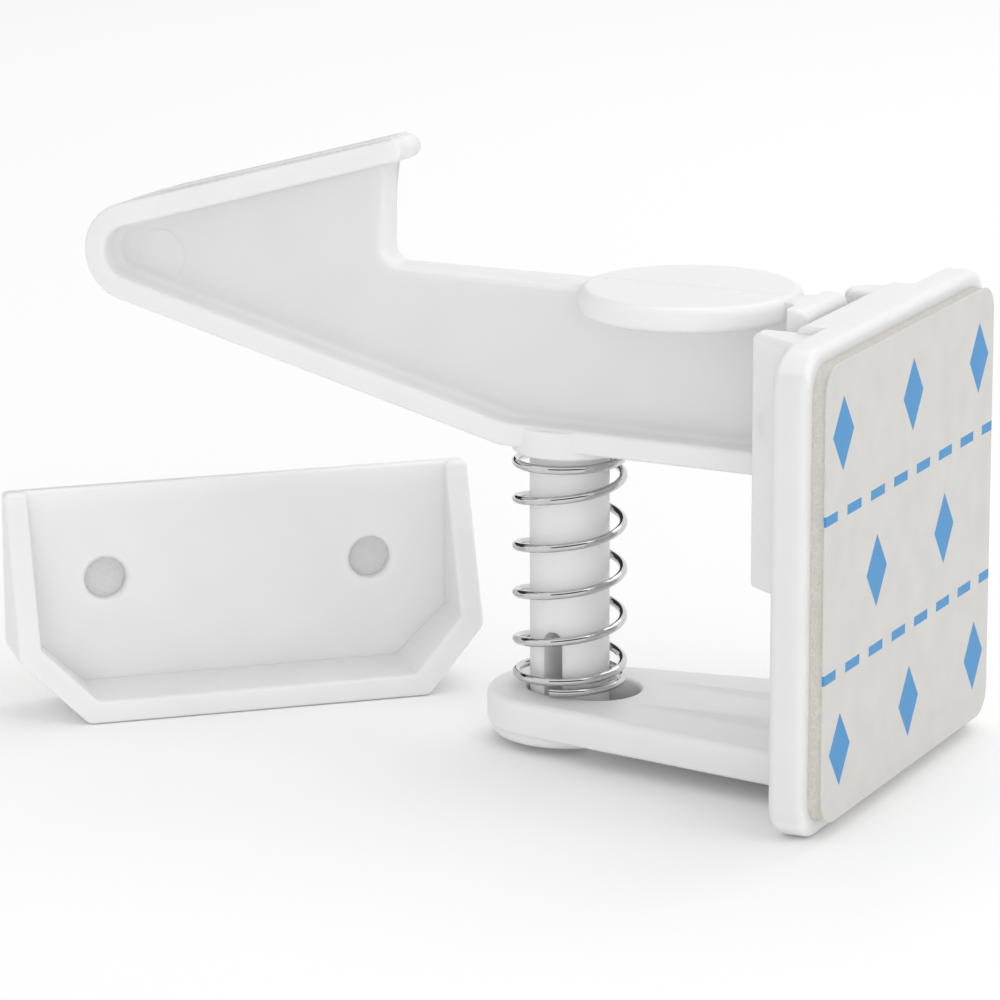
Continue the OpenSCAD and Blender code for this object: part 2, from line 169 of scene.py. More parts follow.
def round_block(r, low, travel, low_r=0, high_r=0, sides=96):
    """Closed round block that starts at the point low."""
    bm = bmesh.new()
    bmesh.ops.create_circle(bm, cap_ends=True, radius=r, segments=sides)
    bmesh.ops.rotate(bm, verts=bm.verts, matrix=Vector((0, 0, 1)).rotation_difference(Vector(travel)).to_matrix())
    bmesh.ops.translate(bm, verts=bm.verts, vec=low)
    bm.faces.ensure_lookup_table()
    return pull_out(bm, bm.faces[0], travel, low_r, high_r)


def spun_block(profile, x, sides=96):
    """Closed block: a profile of (radius, height) points, spun a full turn about the upright line at x."""
    bm = bmesh.new()
    line = [bm.verts.new((x + r, 0, z)) for r, z in profile]
    edges = [bm.edges.new(pair) for pair in zip(line, line[1:])]
    bmesh.ops.spin(bm, geom=line + edges, cent=(x, 0, 0), axis=(0, 0, 1), angle=2 * math.pi, steps=sides,
                   use_merge=True)
    bmesh.ops.remove_doubles(bm, verts=bm.verts, dist=0.0001)
    bmesh.ops.recalc_face_normals(bm, faces=bm.faces)
    return bm


# %% [markdown]
# The blocks of one moulding flow into each other on the real part. They could be left as shells that pass
# through each other, but then walls would hide inside. A boolean modifier joins them into one closed skin
# and takes out the slots, and the result is read back from the evaluated object. The roof of the base and the
# cutters of its gutters stay a hair off the faces next to them, because two faces in one plane are hard to join.

# %% Join blocks into one skin
HAIR = 0.02


def loose_object(bm):
    mesh = bpy.data.meshes.new("block")
    bm.to_mesh(mesh)
    bm.free()
    made = bpy.data.objects.new("block", mesh)
    bpy.context.scene.collection.objects.link(made)
    return made


def join_blocks(blocks, cuts=()):
    """One closed bmesh: the blocks joined, and the cuts taken out."""
    body, *others = [loose_object(bm) for bm in blocks]
    steps = [(o, "UNION") for o in others] + [(loose_object(bm), "DIFFERENCE") for bm in cuts]
    for tool, how in steps:
        boolean = body.modifiers.new(how.lower(), "BOOLEAN")
        boolean.operation, boolean.solver, boolean.object = how, "EXACT", tool
    skin = bmesh.new()
    skin.from_object(body, bpy.context.evaluated_depsgraph_get())
    for o in [body] + [tool for tool, _ in steps]:
        bpy.data.meshes.remove(o.data)
    bmesh.ops.remove_doubles(skin, verts=skin.verts, dist=0.0005)
    bmesh.ops.dissolve_degenerate(skin, edges=skin.edges, dist=0.0005)
    return skin


# %% [markdown]
# A finished piece gets smooth shading with its true creases kept sharp. Weighted normals let the large flat faces
# decide the shading, so that a flat wall next to a rounded rim stays flat to the eye. Then the piece gets its
# material, is attached to the body it moves with, and the CAD node it stands for is hidden.

# %% Finish a piece
def finish_piece(name, bm, body, node, material, crease=32):
    bmesh.ops.scale(bm, verts=bm.verts, vec=(MM,) * 3)
    mesh = bpy.data.meshes.new(name)
    bm.to_mesh(mesh)
    open_edges = sum(not e.is_manifold for e in bm.edges)
    bm.free()
    mesh.shade_smooth()
    mesh.set_sharp_from_angle(angle=math.radians(crease))
    mesh.materials.append(material)
    piece = bpy.data.objects.new(name, mesh)
    bpy.context.scene.collection.objects.link(piece)
    normals = piece.modifiers.new("flat faces lead", "WEIGHTED_NORMAL")
    normals.keep_sharp, normals.weight = True, 80
    if body:
        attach(piece, body)
    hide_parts(node)
    mesh.calc_loop_triangles()
    print(name, len(mesh.loop_triangles), "triangles,", open_edges, "open edges")
    return piece


# %% [markdown]
# The white plastic is a satin polypropylene. It is never one flat white: the tool leaves a fine grain, the
# plastic sinks a little over thick places, and the gloss changes from spot to spot. Light goes a little way into it,
# which softens the rims. The lamps here leave the web of the arm and the side rims of the plate a little lighter
# than they are meant to look, so their points carry a mark that darkens the tint. This is painted shade of the web's
# recess and of the plate's sides, not a colour of the plastic. Grain and sink are one node group and the painted
# shade another, because more than one material needs them.

# %% Node helpers
MIX_FAC, MIX_A, MIX_B, MIX_OUT = 0, 6, 7, 2  # sockets of a Mix node that mixes colours


def node(tree, kind, **values):
    made = tree.nodes.new(kind)
    for key, value in values.items():
        if key in made.inputs:
            made.inputs[key].default_value = value
        else:
            setattr(made, key, value)
    return made


def new_group(name, inputs, outputs):
    tree = bpy.data.node_groups.new(name, "ShaderNodeTree")
    for label, kind, value in inputs:
        socket = tree.interface.new_socket(label, in_out="INPUT", socket_type=kind)
        if value is not None:
            socket.default_value = value
    for label, kind in outputs:
        tree.interface.new_socket(label, in_out="OUTPUT", socket_type=kind)
    return tree, tree.nodes.new("NodeGroupInput"), tree.nodes.new("NodeGroupOutput")


# %% Node group for grain and sink
grain, g_in, g_out = new_group(
    "moulded_grain",
    [("Place", "NodeSocketVector", None), ("Grain Size", "NodeSocketFloat", 4000.0),
     ("Sink Size", "NodeSocketFloat", 160.0)],
    [("Mottle", "NodeSocketFloat"), ("Gloss", "NodeSocketFloat"), ("Height", "NodeSocketFloat")])
fine = node(grain, "ShaderNodeTexNoise", Detail=3.0, Roughness=0.6)
sink = node(grain, "ShaderNodeTexNoise", Detail=1.0, Roughness=0.4)
for texture, size in ((fine, "Grain Size"), (sink, "Sink Size")):
    grain.links.new(g_in.outputs["Place"], texture.inputs["Vector"])
    grain.links.new(g_in.outputs[size], texture.inputs["Scale"])
fine_share = 0.12
weigh = node(grain, "ShaderNodeMath", operation="MULTIPLY_ADD")
grain.links.new(fine.outputs["Fac"], weigh.inputs[0])
weigh.inputs[1].default_value = fine_share
grain.links.new(sink.outputs["Fac"], weigh.inputs[2])
both = node(grain, "ShaderNodeMath", operation="MULTIPLY")
grain.links.new(fine.outputs["Fac"], both.inputs[0])
grain.links.new(sink.outputs["Fac"], both.inputs[1])
grain.links.new(sink.outputs["Fac"], g_out.inputs["Mottle"])
grain.links.new(both.outputs[0], g_out.inputs["Gloss"])
grain.links.new(weigh.outputs[0], g_out.inputs["Height"])
print("group", grain.name, "has", len(grain.nodes), "nodes")


# %% Node group for the painted shade
# Painted shade: the tint of marked points is multiplied by a grey, so they come out darker than the lamps make them.
painted_shade, t_in, t_out = new_group(
    "painted_shade_tint",
    [("Tint", "NodeSocketColor", None), ("Grey", "NodeSocketColor", (0.92, 0.92, 0.92, 1))],
    [("Tint", "NodeSocketColor")])
marked = node(painted_shade, "ShaderNodeAttribute", attribute_name="painted_shade")
shaded_tint = node(painted_shade, "ShaderNodeMix", data_type="RGBA", blend_type="MULTIPLY")
painted_shade.links.new(marked.outputs["Fac"], shaded_tint.inputs[MIX_FAC])
painted_shade.links.new(t_in.outputs["Tint"], shaded_tint.inputs[MIX_A])
painted_shade.links.new(t_in.outputs["Grey"], shaded_tint.inputs[MIX_B])
painted_shade.links.new(shaded_tint.outputs[MIX_OUT], t_out.inputs["Tint"])
print("group", painted_shade.name, "has", len(painted_shade.nodes), "nodes")


# %% Material helper and white plastic
def new_material(name, **values):
    made = bpy.data.materials.new(name)
    made.use_nodes = True
    shader = made.node_tree.nodes["Principled BSDF"]
    for label, value in values.items():
        shader.inputs[label.replace("_", " ")].default_value = value
    place = made.node_tree.nodes.new("ShaderNodeTexCoord").outputs["Object"]
    return made, made.node_tree, shader, place


def blend_colours(tree, fac, low, high):
    mix = node(tree, "ShaderNodeMix", data_type="RGBA")
    for socket, colour in ((mix.inputs[MIX_A], low), (mix.inputs[MIX_B], high)):
        socket.default_value = (*colour, 1)
    tree.links.new(fac, mix.inputs[MIX_FAC])
    return mix.outputs[MIX_OUT]


def spread(tree, value, low, high):
    ramp = node(tree, "ShaderNodeMapRange")
    ramp.inputs["From Min"].default_value, ramp.inputs["From Max"].default_value = 0.2, 0.8
    ramp.inputs["To Min"].default_value, ramp.inputs["To Max"].default_value = low, high
    tree.links.new(value, ramp.inputs["Value"])
    return ramp.outputs["Result"]


def bump(tree, shader, height, strength, distance):
    made = node(tree, "ShaderNodeBump", Strength=strength, Distance=distance)
    tree.links.new(height, made.inputs["Height"])
    tree.links.new(made.outputs["Normal"], shader.inputs["Normal"])


def white_plastic(name, grain_size, sink_size):
    made, tree, shader, place = new_material(name, IOR=1.49, Subsurface_Weight=0.5, Subsurface_Radius=(1, 1, 1),
                                             Subsurface_Scale=0.0015)
    skin = node(tree, "ShaderNodeGroup", node_tree=grain)
    skin.inputs["Grain Size"].default_value = grain_size
    skin.inputs["Sink Size"].default_value = sink_size
    tree.links.new(place, skin.inputs["Place"])
    tint = blend_colours(tree, skin.outputs["Mottle"], (0.80, 0.80, 0.80), (0.845, 0.845, 0.845))
    # The tint passes through the painted shade group, which darkens the marked points.
    part_shade = node(tree, "ShaderNodeGroup", node_tree=painted_shade)
    tree.links.new(tint, part_shade.inputs["Tint"])
    tree.links.new(part_shade.outputs["Tint"], shader.inputs["Base Color"])
    tree.links.new(spread(tree, skin.outputs["Gloss"], 0.34, 0.56), shader.inputs["Roughness"])
    bump(tree, shader, skin.outputs["Height"], 0.25, 0.0002)
    return made


def paint_shade(piece, is_shaded):
    """Mark the points of a piece that get the painted shade."""
    marks = piece.data.attributes.new("painted_shade", "FLOAT", "POINT")
    for v, mark in zip(piece.data.vertices, marks.data):
        mark.value = float(is_shaded(v.co / MM))


base_plastic = white_plastic("base_plastic", 4200.0, 150.0)
arm_plastic = white_plastic("arm_plastic", 4200.0, 170.0)
strike_plastic = white_plastic("strike_plastic", 4600.0, 190.0)
print("plastics", [m.name for m in (base_plastic, arm_plastic, strike_plastic)])

# %% [markdown]
# The base is one moulding: a back plate, two hinge walls that thicken towards the plate, a roof between
# them, and a tongue with a round end that the post snaps through. Reaches are measured forward from the back
# of the plate and heights up from the table, as a drawing of the part would give them. The plate's back stands out
# a little further than the solid's, because the tape in the picture is thinner than the solid's tape.

# %% Plate, hinge walls and roof
plate_t, plate_corner_r, plate_edge_r, back_edge_r, back_extra = 2.9, 3.4, 0.9, 0.7, 0.4
ear_in, ear_t, ear_flare, ear_reach, ear_low, ear_top = 8.8, 2.2, 3.7, 8.6, 19.1, 41.2
roof_t, roof_reach = 2.0, 5.0
root_x = back_x - plate_t / 2


def rectangle(u0, v0, u1, v1, r=0):
    return [(u0, v0, r), (u1, v0, r), (u1, v1, r), (u0, v1, r)]


plate_back = back_x + back_extra
plate = block(rectangle(-plate_w / 2, table_z, plate_w / 2, table_z + plate_h, plate_corner_r),
              back_view(plate_back), (back_x - plate_t - plate_back, 0, 0), back_edge_r, plate_edge_r)


def hinge_wall(side):
    out = ear_in + ear_t
    corners = [(root_x, ear_in, 0), (root_x, out + ear_flare, 0), (back_x - plate_t, out + ear_flare, 0),
               (back_x - ear_reach, out, 0.9), (back_x - ear_reach, ear_in, 0.8)]
    corners = [(u, side * v, r) for u, v, r in corners]
    return block(corners, top_view(table_z + ear_low), (0, 0, ear_top - ear_low), 0.4, 0.7)


roof_top = table_z + plate_h - HAIR
roof = block([(root_x, roof_top - roof_t, 0), (root_x, roof_top, 0), (back_x - roof_reach, roof_top, 1.0),
              (back_x - roof_reach, roof_top - roof_t, 0.5)],
             side_view(-ear_in - ear_t / 2), (0, 2 * ear_in + ear_t, 0))
print("plate", round(plate_w, 2), "by", round(plate_h, 2), "mm")

# %% [markdown]
# The tongue is a triangle seen from above, with its point rounded to the size of the spring's seat. The collar
# below it holds the barbs of the post. A slot lets the post swing as the arm is pressed, and its rim is rounded after
# the cut, because only then does the rim exist. Two shallow gutters run from the plate towards the slot. Their cutter
# spreads out level just above the tongue and rises on its way, so that each gutter fades out with no edge to see.

# %% Tongue, collar and their cuts
tongue_w, tongue_top, tongue_low, tongue_end_r = 24.0, 4.8, 1.7, 7.4
collar_low, collar_r, ledge_z, slot_r, barb_room_r = 0.7, 7.0, 2.0, 3.81, 4.9
gutter_depth, gutter_y = 0.8, 3.7
press = math.radians(press_joint["range_deg"][1])
post_out = hinge_x - post_x
post_swing = post_out - post_out / math.cos(press) + (hinge_z - table_z - collar_low) * math.tan(press)


def tangent(p, c, r, side):
    """Direction from p that just touches the circle of radius r about c, on one side of it."""
    way = (c - p).normalized()
    way.rotate(Matrix.Rotation(side * math.asin(r / (c - p).length), 2))
    return way


side_foot = Vector((root_x, tongue_w / 2))
side_way = tangent(side_foot, Vector((post_x, 0)), tongue_end_r, -1)
point_x = side_foot.x - side_foot.y * side_way.x / side_way.y
tongue = block([(root_x, tongue_w / 2, 0), (point_x, 0, tongue_end_r), (root_x, -tongue_w / 2, 0)],
               top_view(table_z + tongue_low), (0, 0, tongue_top - tongue_low), 0.4, 0.8)
collar = round_block(collar_r, (post_x, 0, table_z + collar_low), (0, 0, 2), low_r=0.6)


def swing_slot(r, low, high):
    outline = rectangle(post_x - r, -r, post_x + post_swing + r, r, r * 0.999)
    return block(outline, top_view(table_z + low), (0, 0, high - low))


gutter_x, rim_z = root_x + 1, table_z + tongue_top


def gutter(y):
    corners = [(-3.4, 1, 0), (-3.4, HAIR, 0), (-2.3, HAIR, 2.5), (-0.6, -gutter_depth, 1.5),
               (0.6, -gutter_depth, 1.5), (2.3, HAIR, 2.5), (3.4, HAIR, 0), (3.4, 1, 0)]
    run = post_x + post_swing + slot_r - 1 - gutter_x
    return block([(y + v, rim_z + w, r) for v, w, r in corners], back_view(gutter_x), (run, 0, gutter_depth))


tongue = join_blocks([tongue], [gutter(-gutter_y), gutter(gutter_y)])
print("tongue reaches", round(back_x - post_x + tongue_end_r, 2), "mm, post swings", round(post_swing, 2))

# %% Join the base
pin_hole_r, pin_hole_half, rim_r, side_rim = 1.68, 11.5, 0.35, 0.5
pin_hole = round_block(pin_hole_r, (hinge_x, -pin_hole_half, hinge_z), (0, 2 * pin_hole_half, 0))
base_skin = join_blocks(
    [plate, hinge_wall(-1), hinge_wall(1), roof, tongue, collar],
    [swing_slot(slot_r, -1, tongue_top + 1), swing_slot(barb_room_r, -1, ledge_z), pin_hole])


def rim_of_cut(bm, height, reach):
    """Edges at one height that lie between a level face and a wall, near the middle of the part."""
    level = [e for e in bm.edges if all(abs(v.co.z - height) < 0.002 and abs(v.co.y) < reach for v in e.verts)]
    return [e for e in level if len(e.link_faces) == 2
            and min(abs(f.normal.z) for f in e.link_faces) < 0.5 < max(abs(f.normal.z) for f in e.link_faces)]


rim = rim_of_cut(base_skin, rim_z, 4.3)
round_edges(base_skin, rim, rim_r, 3)
base = finish_piece("lock_base", base_skin, "base_body", "base", base_plastic)
# Painted shade on the plate's side rims.
paint_shade(base, lambda p: abs(p.y) > plate_w / 2 - side_rim)
print("rounded", len(rim), "edges round the slot")

# %% [markdown]
# The arm is the part that takes the most skill to mould: a long hook whose web is stiffened by a flange below, round
# the tip and under the slope, so that it cools evenly and stays straight. Its outline is worked out like a
# draughtsman would, with two lines that just touch the round of the tip.

# %% Outline of the arm
arm_w, web_t, flange_t = 9.0, 3.3, 2.1
arm_top, root_low, knee_z = table_z + 41.9, table_z + 27.0, table_z + 27.2
root_reach, knee_reach, catch_reach, tip_reach, tip_r = 6.2, 35.6, 48.2, 77.5, 4.5


def meet(p, u, q, v):
    """Point where the line through p along u crosses the line through q along v."""
    return p + u * (q - p).cross(v) / u.cross(v)


tip = Vector((back_x - tip_reach + tip_r, arm_top - 0.7))
knee, root_foot = Vector((back_x - knee_reach, knee_z)), Vector((back_x - root_reach, root_low))
root_top, catch_foot = Vector((back_x - root_reach, arm_top)), Vector((back_x - catch_reach, arm_top))
lip_end = catch_foot + Vector((1.7, 11.5))
slope_way, under_way = tangent(lip_end, tip, tip_r, -1), tangent(knee, tip, tip_r, 1)
slope_in = Vector((-slope_way.y, slope_way.x))
point = meet(lip_end, slope_way, knee, under_way)
lip_low = lip_end + slope_in * flange_t
upright = Vector((0, 1))
catch_top = meet(lip_low, slope_way, catch_foot, upright)
slope_top = meet(lip_end, slope_way, catch_foot, upright)
arm_corners = [(*p, r) for p, r in (
    (point, tip_r), (knee, 4), (root_foot, 1), (root_top, 1), (catch_foot, 1.5), (catch_top, 0.4),
    (lip_low, 1), (lip_end, 1))]


def step_in(points, distances):
    """Outline with each side moved in by its own distance, for points listed against the clock."""
    made = []
    for i, p in enumerate(points):
        u, v = (p - points[i - 1]).normalized(), (points[(i + 1) % len(points)] - p).normalized()
        left = [Vector((-w.y, w.x)) for w in (u, v)]
        made.append(meet(p + left[0] * distances[i - 1], u, p + left[1] * distances[i], v))
    return made


past_rim, under_slope = -2.5, flange_t - 0.03
recess = step_in([point, knee, root_foot, root_top, catch_foot, slope_top],
                 [flange_t, flange_t, flange_t, past_rim, past_rim, under_slope])
recess_corners = [(*p, r) for p, r in zip(recess, (2.4, 4, 1.6, 0, 0, 0))]
print("hook slope in degrees", round(math.degrees(math.atan2(-slope_way.y, -slope_way.x)), 1))

# %% [markdown]
# A recess is taken out of each side, open at the arm's top and at the catch face, so that the bare web shows there.
# The cutter's floor is rounded where it meets the lower flange and the tip, which leaves the soft hollow of
# the real arm. A wedge on each side then narrows the slope's flange from the tip to the lip. A low rib of the web's
# width stands on the slope, and its side is the thin line that runs up to the lip.

# %% Web and flanges
recess_floor_r, lip_half_w = 1.2, 2.1
rib_start, rib_short, rib_half_w, rib_h, rib_corner_r = 0.9, 3.5, 1.6, 0.2, 0.6


def below_slope(spot):
    return (Vector((spot.x, spot.z)) - lip_end).dot(slope_in)


def recess_cut(side):
    depth = (arm_w - web_t) / 2 + 1
    bm = block(recess_corners, side_view(side * (arm_w / 2 + 1)), (0, -side * depth, 0))
    floor = [e for e in bm.edges if all(abs(abs(v.co.y) - web_t / 2) < 0.001 for v in e.verts)]
    round_edges(bm, [e for e in floor if any(below_slope(v.co) > flange_t for v in e.verts)], recess_floor_r, 5)
    return bm


def above_slope(height):
    def place(u, v):
        spot = lip_end + slope_way * u - slope_in * height
        return Vector((spot.x, v, spot.y))
    return place


slope_len = (tip - slope_in * tip_r - lip_end).length


def slope_cut(side):
    wide = arm_w / 2 + 1
    run = slope_len * (wide - lip_half_w) / (arm_w / 2 - lip_half_w)
    corners = [(-3, lip_half_w), (0, lip_half_w), (run, wide), (-3, wide)]
    down = slope_in * (flange_t + 2)
    return block([(u, side * v, 0) for u, v in corners], above_slope(1), (down.x, 0, down.y))


rib_end, rib_in = slope_len - rib_short, slope_in * (rib_h + 1)
slope_rib = block([(rib_start, rib_half_w, 0), (rib_end, rib_half_w, rib_corner_r),
                   (rib_end, -rib_half_w, rib_corner_r), (rib_start, -rib_half_w, 0)],
                  above_slope(rib_h), (rib_in.x, 0, rib_in.y))
arm_body = join_blocks([block(arm_corners, side_view(-arm_w / 2), (0, arm_w, 0))],
                       [cut(side) for cut in (recess_cut, slope_cut) for side in (-1, 1)])
print("arm body", len(arm_body.faces), "faces before rounding")

# %% [markdown]
# Now the rims exist and can be rounded. An outer edge lies between a face that looks sideways and a face that
# doesn't. Those of the bare web get a wide round, which is the soft band along the arm's top, and those of
# the flanges a narrow one, which is the crisp line down the slope.

# %% Round the rims of the web and the flanges
flange_rim_r, web_rim_r = 0.4, 0.95


def side_edges(bm, near, far):
    """Outward edges of faces that look sideways, between two distances from the middle plane."""
    made = []
    for e in bm.edges:
        looks = sorted(abs(f.normal.y) for f in e.link_faces)
        if len(looks) == 2 and looks[0] < 0.3 and looks[1] > 0.98 and e.is_convex:
            if all(near < abs(v.co.y) < far for v in e.verts):
                made.append(e)
    return made


arm_body.normal_update()
flange_rims = side_edges(arm_body, web_t / 2 + 0.1, arm_w)
round_edges(arm_body, flange_rims, flange_rim_r, 3)
arm_body.normal_update()
web_rims = [e for e in side_edges(arm_body, web_t / 2 - 0.1, web_t / 2 + 0.02)
            if all(below_slope(v.co) > flange_t + 0.2 for v in e.verts)]
round_edges(arm_body, web_rims, web_rim_r, 5)
bmesh.ops.triangulate(arm_body, faces=[f for f in arm_body.faces if len(f.verts) > 4])
print("rounded", len(flange_rims), "flange edges and", len(web_rims), "web edges")

# %% [markdown]
# The two halves of the tool meet on the arm's middle plane and leave a parting line there: a hair of plastic that
# runs round the hook and across the disc. It is cut in with two planes, and the strip between them is lifted
# a few hundredths of a millimetre, which is enough to catch the light.

# %% Parting line
line_w, line_h = 0.14, 0.03
for y in (-line_w / 2, line_w / 2):
    bmesh.ops.bisect_plane(arm_body, geom=list(arm_body.verts) + list(arm_body.edges) + list(arm_body.faces),
                           plane_co=(0, y, 0), plane_no=(0, 1, 0))
strip = [f for f in arm_body.faces if all(abs(v.co.y) < line_w / 2 + 0.001 for v in f.verts)
         and f.calc_center_median().x < catch_foot.x - 1]
ridge = bmesh.ops.extrude_face_region(arm_body, geom=strip)["geom"]
arm_body.normal_update()
bmesh.ops.delete(arm_body, geom=[f for f in strip if f.is_valid], context="FACES")
for v in [g for g in ridge if isinstance(g, bmesh.types.BMVert)]:
    flat = Vector((v.normal.x, 0, v.normal.z)).normalized()
    v.co += flat * line_h
print("parting line over", len(strip), "faces")

# %% [markdown]
# The disc is where a thumb presses. The post below is split into two prongs, which close up as they are pushed
# through the tongue and spring open under its ledge. The hub and its pins turn in the hinge walls. All of
# these are round, so each starts as a circle.

# %% Disc, post and hinge pins
disc_r, disc_x, disc_top, disc_t = 9.8, back_x - 19.1, table_z + 42.2, 2.2
post_r, seat_z, barb_top, barb_r, prong_tip_r = 3.55, table_z + 26.5, 1.92, 4.4, 3.125
split_half, split_top = 0.9, table_z + 10.5
hub_r, hub_half, pin_r, pin_half = 2.4, 8.5, 1.6, 11.2
disc = round_block(disc_r, (disc_x, 0, disc_top - disc_t), (0, 0, disc_t), 0.6, 0.85, sides=128)
disc_line = block(rectangle(disc_x - disc_r + 0.9, -line_w / 2, disc_x + disc_r - 0.9, line_w / 2),
                  top_view(disc_top - 0.5), (0, 0, 0.5 + line_h))
seat = round_block(spring_high.x - post_x, (post_x, 0, seat_z), (0, 0, 2.5), low_r=0.3)
post = spun_block([(0, table_z), (prong_tip_r - 0.2, table_z), (prong_tip_r, table_z + 0.15),
                   (barb_r - 0.1, table_z + barb_top - 0.65), (barb_r, table_z + barb_top - 0.5),
                   (barb_r, table_z + barb_top), (post_r, table_z + barb_top), (post_r, knee_z + 1),
                   (0, knee_z + 1)], post_x)
post_slot = block([(post_x - split_half, table_z - 1, 0), (post_x + split_half, table_z - 1, 0),
                   (post_x + split_half, split_top, split_half - 0.01),
                   (post_x - split_half, split_top, split_half - 0.01)], side_view(-8), (0, 16, 0))
hub = round_block(hub_r, (hinge_x, -hub_half, hinge_z), (0, 2 * hub_half, 0), 0.2, 0.2)
pins = round_block(pin_r, (hinge_x, -pin_half, hinge_z), (0, 2 * pin_half, 0), 0.2, 0.2)
print("disc is", 2 * disc_r, "mm across, and the post", 2 * post_r)

# %% [markdown]
# Ejector pins push the moulding out of the tool and leave faint round marks. One shows in the recess near the tip,
# as a shallow disc on the web. It is joined on with the rest, a few hundredths of a millimetre proud. Then the
# points of the web are marked for the painted shade.

# %% Join the arm
mark_r, mark_x, mark_z, mark_sunk, mark_t = 2.3, -72.6, 19.8, 0.3, 0.36
marks = [round_block(mark_r, (mark_x, side * (web_t / 2 - mark_sunk), mark_z), (0, side * mark_t, 0), sides=48)
         for side in (-1, 1)]
arm_skin = join_blocks([arm_body, slope_rib, disc, disc_line, seat, post, hub, pins, *marks], [post_slot])
arm = finish_piece("hook_arm", arm_skin, "arm_body", "arm", arm_plastic)


on_plane, rim_in, fillet_up = 0.005, 0.06, 0.4


def on_web(p):
    """Points on the web's sides or, clear of the press disc, low in its fillets."""
    over = abs(p.y) - web_t / 2
    clear = knee_z < p.z < disc_top - disc_t or abs(p.x - disc_x) > disc_r + 0.1
    return abs(over) < on_plane or (clear and -rim_in < over < fillet_up)


# Painted shade on the web of the arm, and low in its fillets clear of the press disc.
paint_shade(arm, on_web)

# %% [markdown]
# The return spring is hard drawn wire, wound with its end turns closed so that it stands square on the tongue.
# A curve with a bevel could make it, but a spun ring of points gives a closed mesh with clean caps. Each small
# step of the spin also climbs a little, slowly in the closed turns and faster between them.

# %% Wind the spring
wire_r = 0.38
mean_r = spring_high.x - post_x - wire_r
turns, turn_steps, start_angle, closed_rise = 6.45, 56, math.radians(-86), 0.87
steps = round(turns * turn_steps)


def ease(t):
    t = min(1.0, max(0.0, t))
    return t * t * (3 - 2 * t)


openness = [ease((i / turn_steps - 0.72) / 0.9) * ease((turns - i / turn_steps - 0.5) / 0.8) for i in range(steps)]
climb = spring_high.z - spring_low.z - 2 * wire_r
closed_total = closed_rise * sum(1 - w for w in openness) / turn_steps
open_rise = (climb - closed_total) * turn_steps / sum(openness)
spring_skin = bmesh.new()
bmesh.ops.create_circle(spring_skin, cap_ends=True, radius=wire_r, segments=14)
bmesh.ops.rotate(spring_skin, verts=spring_skin.verts, matrix=Matrix.Rotation(math.pi / 2, 3, "X"))
bmesh.ops.translate(spring_skin, verts=spring_skin.verts, vec=(post_x + mean_r, 0, spring_low.z + wire_r))
bmesh.ops.rotate(spring_skin, verts=spring_skin.verts, cent=(post_x, 0, 0),
                 matrix=Matrix.Rotation(start_angle, 3, "Z"))
ring = list(spring_skin.edges)
for w in openness:
    rise = (closed_rise + (open_rise - closed_rise) * w) / turn_steps
    turned = bmesh.ops.spin(spring_skin, geom=ring, cent=(post_x, 0, 0), axis=(0, 0, 1), dvec=(0, 0, rise),
                            angle=2 * math.pi / turn_steps, steps=1)
    ring = [g for g in turned["geom_last"] if isinstance(g, bmesh.types.BMEdge)]
bmesh.ops.contextual_create(spring_skin, geom=ring)
bmesh.ops.recalc_face_normals(spring_skin, faces=spring_skin.faces)
print("spring rises", round(open_rise, 2), "mm a turn where it is open")

# %% [markdown]
# Bright spring wire is drawn through a die, which leaves fine lines along it and small changes of gloss. The
# colour is a cool mid grey and the metal does the rest, by mirroring the white room.

# %% Spring steel
steel, tree, shader, place = new_material("drawn_wire", Metallic=1.0)
wire_grain = node(tree, "ShaderNodeGroup", node_tree=grain)
wire_grain.inputs["Grain Size"].default_value, wire_grain.inputs["Sink Size"].default_value = 9000.0, 900.0
tree.links.new(place, wire_grain.inputs["Place"])
tree.links.new(blend_colours(tree, wire_grain.outputs["Mottle"], (0.54, 0.54, 0.55), (0.66, 0.66, 0.67)),
               shader.inputs["Base Color"])
tree.links.new(spread(tree, wire_grain.outputs["Gloss"], 0.05, 0.14), shader.inputs["Roughness"])
bump(tree, shader, wire_grain.outputs["Height"], 0.12, 0.00005)
spring = finish_piece("return_coil", spring_skin, None, "return_spring", steel, crease=50)
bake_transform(spring)

# %% [markdown]
# The tape on the back of the plate is closed cell foam, cut with a die a little smaller than the plate. Its faces are
# flat because they are glued, and its cut edge is pinched in a little and uneven. A cloth simulation has nothing to
# fill here, so instead the outline is pulled out in four steps and the rings between are pushed in by a smooth
# noise.

# %% Cut the foam
def foam_slab(corners, view, travel, pinch):
    bm = bmesh.new()
    face = bm.faces.new(draw_loop(bm, corners, view))
    bmesh.ops.subdivide_edges(bm, edges=[e for e in bm.edges if e.calc_length() > 2], cuts=30)
    middle = face.calc_center_median()
    along = Vector(travel) / 4
    for ring_no in range(4):
        grown = bmesh.ops.extrude_face_region(bm, geom=[face])["geom"]
        if ring_no:
            bmesh.ops.delete(bm, geom=[face], context="FACES_ONLY")
        face = next(g for g in grown if isinstance(g, bmesh.types.BMFace))
        bmesh.ops.translate(bm, verts=face.verts, vec=along)
        if ring_no < 3:
            for v in face.verts:
                inward = (middle - v.co) - along.normalized() * (middle - v.co).dot(along.normalized())
                depth = pinch * (0.6 + 0.5 * noise.noise(v.co * 0.9) + 0.25 * noise.noise(v.co * 4.1))
                v.co += inward.normalized() * depth
    bmesh.ops.recalc_face_normals(bm, faces=bm.faces)
    return bm


pad_gap, pad_corner_r, pinch = 1.35, 2.4, 0.1
pad_half_w = plate_w / 2 - pad_gap
pad_outline = rectangle(-pad_half_w, table_z + pad_gap, pad_half_w, table_z + plate_h - pad_gap, pad_corner_r)
_, foam_high = box_mm("base_foam_pad")
pad_skin = foam_slab(pad_outline, back_view(plate_back), (foam_high.x - plate_back, 0, 0), pinch)
print("foam slab", len(pad_skin.faces), "faces")
